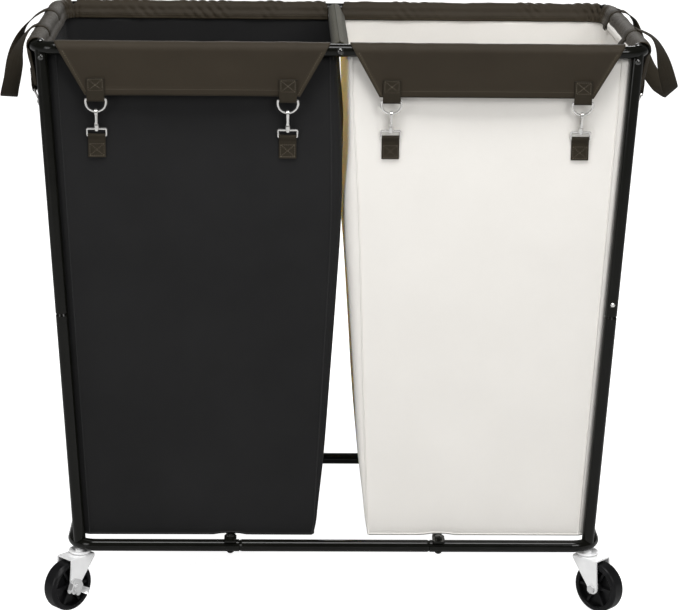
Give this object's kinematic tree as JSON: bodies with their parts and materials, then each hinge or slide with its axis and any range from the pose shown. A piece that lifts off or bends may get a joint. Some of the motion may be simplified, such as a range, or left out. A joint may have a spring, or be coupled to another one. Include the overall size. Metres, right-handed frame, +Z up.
{
  "type": "laundry sorter on wheels",
  "caption": "Rolling laundry sorter: tapered black and ivory cloth bags side by side, hooked over a black tube frame on swivel casters.",
  "frame": {"origin": "on the floor under the middle of the frame", "axes": "+Z up, +X to the right of someone facing the front, the front faces -Y"},
  "size_m": [0.9916, 0.482, 0.849],
  "materials": {
    "black_enamel": "gloss",
    "black_screws": "satin",
    "zinc_plate": "satin",
    "nickel": "gloss",
    "wheel_plastic": "gloss",
    "plug_plastic": "matte",
    "black_cloth": "matte",
    "ivory_cloth": "matte",
    "olive_cloth": "matte",
    "webbing": "matte"
  },
  "bodies": {
    "frame": {"bag_black": "black_cloth", "bag_ivory": "ivory_cloth", "bag_straps": "webbing", "base_end_left": "black_enamel", "base_end_right": "black_enamel", "base_rails": "black_enamel", "caster_stems": "zinc_plate", "centre_bar": "black_enamel", "crossbar_bolts": "black_screws", "crossbars": "black_enamel", "d_rings": "nickel", "flap_black_centre": "olive_cloth", "flap_black_end": "olive_cloth", "flap_black_front": "olive_cloth", "flap_black_rear": "olive_cloth", "flap_ivory_centre": "olive_cloth", "flap_ivory_end": "olive_cloth", "flap_ivory_front": "olive_cloth", "flap_ivory_rear": "olive_cloth", "flap_straps": "webbing", "frame_screws": "black_screws", "post_lower_front_left": "black_enamel", "post_lower_front_right": "black_enamel", "post_lower_rear_left": "black_enamel", "post_lower_rear_right": "black_enamel", "post_upper_front_left": "black_enamel", "post_upper_front_right": "black_enamel", "post_upper_rear_left": "black_enamel", "post_upper_rear_right": "black_enamel", "snap_hooks": "nickel", "swivel_loops": "nickel", "top_end_left": "black_enamel", "top_end_right": "black_enamel", "top_rails": "black_enamel", "tube_plugs": "plug_plastic"},
    "caster_front_left": {"caster_fork_front_left": "zinc_plate", "caster_axle_front_left": "zinc_plate"},
    "wheel_front_left": {"caster_wheel_front_left": "wheel_plastic"},
    "brake_front_left": {"brake_lever_front_left": "zinc_plate"},
    "button_front_left": {"snap_button_front_left": "nickel"},
    "caster_rear_left": {"caster_fork_rear_left": "zinc_plate", "caster_axle_rear_left": "zinc_plate"},
    "wheel_rear_left": {"caster_wheel_rear_left": "wheel_plastic"},
    "button_rear_left": {"snap_button_rear_left": "nickel"},
    "caster_front_right": {"caster_fork_front_right": "zinc_plate", "caster_axle_front_right": "zinc_plate"},
    "wheel_front_right": {"caster_wheel_front_right": "wheel_plastic"},
    "button_front_right": {"snap_button_front_right": "nickel"},
    "caster_rear_right": {"caster_fork_rear_right": "zinc_plate", "caster_axle_rear_right": "zinc_plate"},
    "wheel_rear_right": {"caster_wheel_rear_right": "wheel_plastic"},
    "brake_rear_right": {"brake_lever_rear_right": "zinc_plate"},
    "button_rear_right": {"snap_button_rear_right": "nickel"},
    "gates_front": {"hook_gates_front": "nickel"},
    "gates_rear": {"hook_gates_rear": "nickel"},
    "gates_left": {"hook_gates_left": "nickel"},
    "gates_right": {"hook_gates_right": "nickel"},
    "handle_left": {"handle_left": "webbing"},
    "handle_right": {"handle_right": "webbing"}
  },
  "joints": [
    {"name": "swivel_front_left", "type": "hinge", "parent": "frame", "child": "caster_front_left", "pos_m": [-0.37675, -0.18975, 0], "axis": [0, 0, 1], "continuous": true},
    {"name": "roll_front_left", "type": "hinge", "parent": "caster_front_left", "child": "wheel_front_left", "pos_m": [-0.39443, -0.20743, 0.0375], "axis": [0.7071, -0.7071, 0], "continuous": true},
    {"name": "brake_front_left", "type": "hinge", "parent": "caster_front_left", "child": "brake_front_left", "pos_m": [-0.39443, -0.20743, 0.0375], "axis": [0.7071, -0.7071, 0], "range_deg": [0, 25]},
    {"name": "snap_front_left", "type": "slide", "parent": "frame", "child": "button_front_left", "axis": [0, -1, 0], "range_m": [0, 0.003], "stiffness_N_per_m": 1500, "springref_m": -0.002},
    {"name": "swivel_rear_left", "type": "hinge", "parent": "frame", "child": "caster_rear_left", "pos_m": [-0.37675, 0.18975, 0], "axis": [0, 0, 1], "continuous": true},
    {"name": "roll_rear_left", "type": "hinge", "parent": "caster_rear_left", "child": "wheel_rear_left", "pos_m": [-0.39443, 0.20743, 0.0375], "axis": [-0.7071, -0.7071, 0], "continuous": true},
    {"name": "snap_rear_left", "type": "slide", "parent": "frame", "child": "button_rear_left", "axis": [0, 1, 0], "range_m": [0, 0.003], "stiffness_N_per_m": 1500, "springref_m": -0.002},
    {"name": "swivel_front_right", "type": "hinge", "parent": "frame", "child": "caster_front_right", "pos_m": [0.37675, -0.18975, 0], "axis": [0, 0, 1], "continuous": true},
    {"name": "roll_front_right", "type": "hinge", "parent": "caster_front_right", "child": "wheel_front_right", "pos_m": [0.39443, -0.20743, 0.0375], "axis": [0.7071, 0.7071, 0], "continuous": true},
    {"name": "snap_front_right", "type": "slide", "parent": "frame", "child": "button_front_right", "axis": [0, 1, 0], "range_m": [0, 0.003], "stiffness_N_per_m": 1500, "springref_m": -0.002},
    {"name": "swivel_rear_right", "type": "hinge", "parent": "frame", "child": "caster_rear_right", "pos_m": [0.37675, 0.18975, 0], "axis": [0, 0, 1], "continuous": true},
    {"name": "roll_rear_right", "type": "hinge", "parent": "caster_rear_right", "child": "wheel_rear_right", "pos_m": [0.39443, 0.20743, 0.0375], "axis": [-0.7071, 0.7071, 0], "continuous": true},
    {"name": "brake_rear_right", "type": "hinge", "parent": "caster_rear_right", "child": "brake_rear_right", "pos_m": [0.39443, 0.20743, 0.0375], "axis": [-0.7071, 0.7071, 0], "range_deg": [0, 25]},
    {"name": "snap_rear_right", "type": "slide", "parent": "frame", "child": "button_rear_right", "axis": [0, -1, 0], "range_m": [0, 0.003], "stiffness_N_per_m": 1500, "springref_m": -0.002},
    {"name": "gate_front", "type": "hinge", "parent": "frame", "child": "gates_front", "pos_m": [0.073, -0.2008, 0.72911], "axis": [-1, 0, 0], "range_deg": [0, 22], "stiffness_Nm_per_rad": 0.05, "springref_deg": -11.46},
    {"name": "gate_rear", "type": "hinge", "parent": "frame", "child": "gates_rear", "pos_m": [-0.073, 0.2008, 0.72911], "axis": [1, 0, 0], "range_deg": [0, 22], "stiffness_Nm_per_rad": 0.05, "springref_deg": -11.46},
    {"name": "gate_left", "type": "hinge", "parent": "frame", "child": "gates_left", "pos_m": [-0.42579, -0.12, 0.73013], "axis": [0, 1, 0], "range_deg": [0, 22], "stiffness_Nm_per_rad": 0.05, "springref_deg": -11.46},
    {"name": "gate_right", "type": "hinge", "parent": "frame", "child": "gates_right", "pos_m": [0.42579, 0.12, 0.73013], "axis": [0, -1, 0], "range_deg": [0, 22], "stiffness_Nm_per_rad": 0.05, "springref_deg": -11.46},
    {"name": "lift_handle_left", "type": "hinge", "parent": "frame", "child": "handle_left", "pos_m": [-0.43, 0, 0.836], "axis": [0, 1, 0], "range_deg": [0, 100]},
    {"name": "lift_handle_right", "type": "hinge", "parent": "frame", "child": "handle_right", "pos_m": [0.43, 0, 0.836], "axis": [0, -1, 0], "range_deg": [0, 100]}
  ]
}
